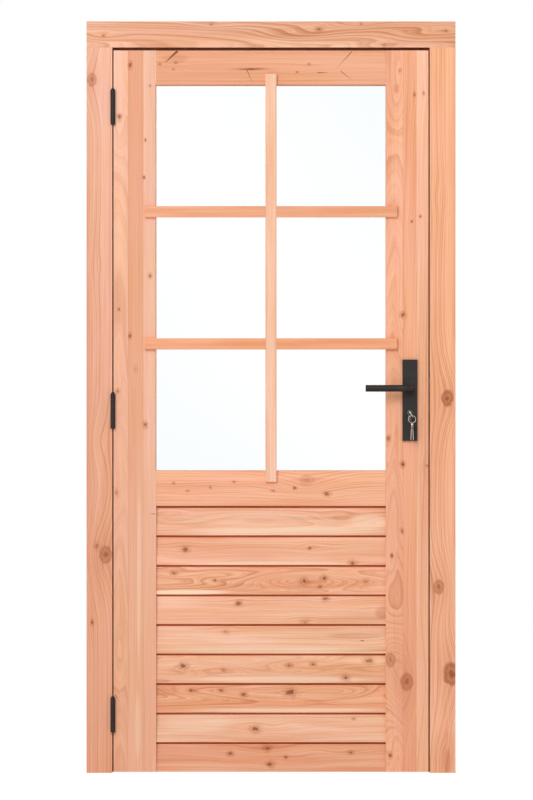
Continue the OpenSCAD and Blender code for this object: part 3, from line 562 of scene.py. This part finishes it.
# soft rubber with a dull skin
def rubberFinish(name, colour, dusty):
    f = Finish(name)
    skin = f.noise(f.place(), rubber["skin"], (2.0, 2.0, 2.0))
    dust = f.noise(f.place(), rubber["dust"], (6.0, 1.0, 3.0), 3.0)
    f.surface(Base_Color=f.blend(dust, colour, dusty), Roughness=skin * 0.15 + 0.68,
              Specular_IOR_Level=rubber["specular"], Normal=f.bump(skin, *rubber["bump"]))
    return f.material


pane = {"clear": (1.0, 1.0, 1.0, 1.0), "cold": (0.94, 0.982, 1.0, 1.0), "middle": 1.48, "slope": 0.9,
        "ior": 1.45}


# clear pane with a faint cold tint that grows away from a slanting line
def paneFinish():
    f = Finish("clear_pane")
    x = f.make("SeparateXYZ", {}, {"Vector": f.place()}, "X")
    slant = x + (x.side("Z") - pane["middle"]) * pane["slope"]
    cloud = f.noise(f.place(), 2, (3.0, 1.0, 8.0), 1.0)
    drift = f.rise((slant * slant).root() + cloud * 0.3, 0.35, 1.05)
    f.surface(Base_Color=f.blend(drift, pane["clear"], pane["cold"]), Roughness=0.0, IOR=pane["ior"],
              Transmission_Weight=1.0)
    return f.material


metals = {
    "black_metal": blackFinish(),
    "plated_steel": brightFinish("plated_steel", (0.62, 0.62, 0.60, 1), (0.46, 0.46, 0.45, 1), 0.24,
                                 (900, 900, 60)),
    "nickel": brightFinish("nickel", (0.56, 0.50, 0.43, 1), (0.36, 0.31, 0.25, 1), 0.18,
                           (1400, 1400, 220)),
    "dark_nickel": brightFinish("dark_nickel", (0.11, 0.105, 0.10, 1), (0.06, 0.055, 0.05, 1), 0.20,
                                (1400, 220, 1400)),
    "brown_rubber": rubberFinish("brown_rubber", tone(164, 46, 12), tone(176, 60, 22)),
    "grey_rubber": rubberFinish("grey_rubber", tone(150, 147, 140), tone(172, 168, 160)),
    "clear_glass": paneFinish(),
}
for name, slot in slotOf.items():
    if slot in metals:
        dress(name, metals[slot])
dress("latch_bolt", metals["dark_nickel"])  # painted shade: made dark so that it reads as shade inside the gap
softEdges = {"outside_plate": 0.0012, "inside_plate": 0.0012, "strike_plate": 0.0004, "lock_forend": 0.0004,
             "door_key": 0.0003, "spare_keys": 0.0003, "dead_bolt": 0.0006, "latch_bolt": 0.0006,
             "cylinder_body": 0.0005, "cylinder_plug": 0.0006}
for name, width in softEdges.items():
    breakEdges(name, width)
print("metal, rubber and glass dressed")


# the key stands in front to the left, a weaker fill behind to the right
studio = {"floor": (0.86, 0.86, 0.86, 1), "floorHalf": 20, "floorAt": -0.0005, "floorGlow": 1.035,
          "floorWhite": 0.94, "white": (1, 1, 1, 1), "ambient": 0.45, "lampSize": 4.4,
          "aim": (0.0, 0.0, 1.1), "key": 400.0, "keyAt": (-2.2, -7.6, 4.7),
          "fill": 190.0, "fillAt": (2.4, 7.4, 4.4)}


def placeFloor():
    mesh = bpy.data.meshes.new("floor")
    half = studio["floorHalf"]
    corners = [(-half, -half, 0), (half, -half, 0), (half, half, 0), (-half, half, 0)]
    mesh.from_pydata(corners, [], [(0, 1, 2, 3)])
    floor = bpy.data.objects.new("floor", mesh)
    bpy.context.scene.collection.objects.link(floor)
    f = Finish("floor")
    matt = f.make("BsdfDiffuse", {}, {"Color": studio["floor"]})
    glow = f.make("Emission", {}, {"Color": studio["white"], "Strength": studio["floorGlow"]})
    f.end(f.make("MixShader", {}, {0: f.seen() * studio["floorWhite"], 1: matt, 2: glow}))
    mesh.materials.append(f.material)
    floor.location.z = studio["floorAt"]


def placeLight():
    f = Finish("studio", bpy.data.worlds)
    bpy.context.scene.world = f.material
    strength = f.seen() * (1 - studio["ambient"]) + studio["ambient"]
    f.end(f.make("Background", {}, {"Color": studio["white"], "Strength": strength}), "OutputWorld")
    for name in ("key", "fill"):
        lamp = bpy.data.lights.new(name, "AREA")
        lamp.energy, lamp.size, lamp.shape = studio[name], studio["lampSize"], "SQUARE"
        held = bpy.data.objects.new(name, lamp)
        bpy.context.scene.collection.objects.link(held)
        held.location = studio[name + "At"]
        held.rotation_euler = (Vector(studio["aim"]) - held.location).to_track_quat("-Z", "Y").to_euler()


camera = {"at": (-0.0133, -20.027, 1.1015), "distance": 20.0, "tall": 2.3632, "sensor": 36.0}


def placeCamera():
    data = bpy.data.cameras.new("camera")
    data.sensor_width = camera["sensor"]
    data.lens = camera["sensor"] * camera["distance"] / camera["tall"]
    eye = bpy.data.objects.new("camera", data)
    bpy.context.scene.collection.objects.link(eye)
    eye.location = camera["at"]
    eye.rotation_euler = (math.pi / 2, 0, 0)
    bpy.context.scene.camera = eye


placeFloor()
placeLight()
placeCamera()
bpy.context.scene.view_settings.view_transform = "Standard"
print("studio set")
